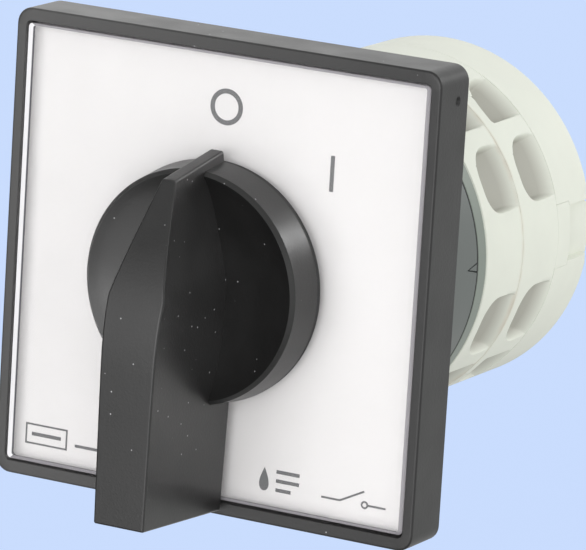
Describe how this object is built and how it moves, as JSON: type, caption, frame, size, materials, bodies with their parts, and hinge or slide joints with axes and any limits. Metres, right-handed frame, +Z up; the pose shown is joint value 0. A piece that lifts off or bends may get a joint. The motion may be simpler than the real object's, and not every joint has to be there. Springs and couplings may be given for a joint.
{
  "type": "rotary isolator switch",
  "caption": "Panel-mounted rotary isolator with a square front plate, lever handle with pointer, detent latch and stacked round contact stages behind the panel.",
  "frame": {"origin": "where the switch axis meets the panel's front face, which is the back face of the front plate", "axes": "+Y along the switch axis into the panel, towards the rear cover; +Z up, towards the O mark; +X to the right as seen from the front"},
  "size_m": [0.064, 0.0852, 0.064],
  "materials": {
    "black_plastic": "satin moulded black",
    "white_legend": "smooth white",
    "clear_window": "clear polished",
    "rubber_seal": "matte black",
    "grey_plastic": "moulded blue-grey",
    "pale_plastic": "moulded pale warm grey",
    "red_plastic": "moulded red-brown",
    "ivory_plastic": "moulded ivory",
    "spring_steel": "bright wire",
    "zinc_steel": "zinc plated",
    "brass": "brass with silver tips"
  },
  "bodies": {
    "base": {"escutcheon_frame": "black_plastic", "legend_plate": "white_legend", "clear_cover": "clear_window", "panel_gasket": "rubber_seal", "shaft_seal": "rubber_seal", "mounting_screw_1": "zinc_steel", "mounting_screw_2": "zinc_steel", "mounting_screw_3": "zinc_steel", "mounting_screw_4": "zinc_steel", "latch_housing": "grey_plastic", "latch_cover": "grey_plastic", "stop_ring": "zinc_steel", "detent_spring_upper": "spring_steel", "detent_spring_lower": "spring_steel", "stage_1_housing": "pale_plastic", "stage_1_spring_upper": "spring_steel", "stage_1_spring_lower": "spring_steel", "stage_1_contact_1": "brass", "stage_1_screw_1": "zinc_steel", "stage_1_contact_2": "brass", "stage_1_screw_2": "zinc_steel", "stage_1_contact_3": "brass", "stage_1_screw_3": "zinc_steel", "stage_1_contact_4": "brass", "stage_1_screw_4": "zinc_steel", "stage_2_housing": "pale_plastic", "stage_2_spring_upper": "spring_steel", "stage_2_spring_lower": "spring_steel", "stage_2_contact_1": "brass", "stage_2_screw_1": "zinc_steel", "stage_2_contact_2": "brass", "stage_2_screw_2": "zinc_steel", "stage_2_contact_3": "brass", "stage_2_screw_3": "zinc_steel", "stage_2_contact_4": "brass", "stage_2_screw_4": "zinc_steel", "rear_cover": "pale_plastic", "tie_bolt_left": "zinc_steel", "tie_bolt_right": "zinc_steel"},
    "rotor": {"handle": "black_plastic", "handle_clip": "spring_steel", "shaft": "zinc_steel", "star_wheel": "ivory_plastic", "stop_washer": "zinc_steel", "stage_1_cam": "red_plastic", "stage_2_cam": "red_plastic"},
    "contact_1_upper": {"stage_1_follower_upper": "ivory_plastic", "stage_1_bridge_upper": "brass"},
    "contact_1_lower": {"stage_1_follower_lower": "ivory_plastic", "stage_1_bridge_lower": "brass"},
    "contact_2_upper": {"stage_2_follower_upper": "ivory_plastic", "stage_2_bridge_upper": "brass"},
    "contact_2_lower": {"stage_2_follower_lower": "ivory_plastic", "stage_2_bridge_lower": "brass"},
    "detent_upper": {"detent_plunger_upper": "ivory_plastic"},
    "detent_lower": {"detent_plunger_lower": "ivory_plastic"}
  },
  "joints": [
    {"name": "handle_turn", "type": "hinge", "parent": "base", "child": "rotor", "pos_m": [0, 0, 0], "axis": [0, 1, 0], "range_deg": [0, 45]},
    {"name": "contact_1_upper_slide", "type": "slide", "parent": "base", "child": "contact_1_upper", "axis": [0, 0, -1], "range_m": [0, 0.0026], "deforming": ["stage_1_spring_upper"]},
    {"name": "contact_1_lower_slide", "type": "slide", "parent": "base", "child": "contact_1_lower", "axis": [0, 0, 1], "range_m": [0, 0.0026], "deforming": ["stage_1_spring_lower"]},
    {"name": "contact_2_upper_slide", "type": "slide", "parent": "base", "child": "contact_2_upper", "axis": [0, 0, -1], "range_m": [0, 0.0026], "deforming": ["stage_2_spring_upper"]},
    {"name": "contact_2_lower_slide", "type": "slide", "parent": "base", "child": "contact_2_lower", "axis": [0, 0, 1], "range_m": [0, 0.0026], "deforming": ["stage_2_spring_lower"]},
    {"name": "detent_upper_slide", "type": "slide", "parent": "base", "child": "detent_upper", "axis": [0, 0, 1], "range_m": [0, 0.0009], "stiffness_N_per_m": 600, "deforming": ["detent_spring_upper"]},
    {"name": "detent_lower_slide", "type": "slide", "parent": "base", "child": "detent_lower", "axis": [0, 0, -1], "range_m": [0, 0.0009], "stiffness_N_per_m": 600, "deforming": ["detent_spring_lower"]}
  ],
  "couplings": [
    {"joint": "contact_1_upper_slide", "follows": "handle_turn", "m_per_rad": 0.00331},
    {"joint": "contact_1_lower_slide", "follows": "handle_turn", "m_per_rad": 0.00331},
    {"joint": "contact_2_upper_slide", "follows": "handle_turn", "m_per_rad": 0.00331},
    {"joint": "contact_2_lower_slide", "follows": "handle_turn", "m_per_rad": 0.00331}
  ]
}
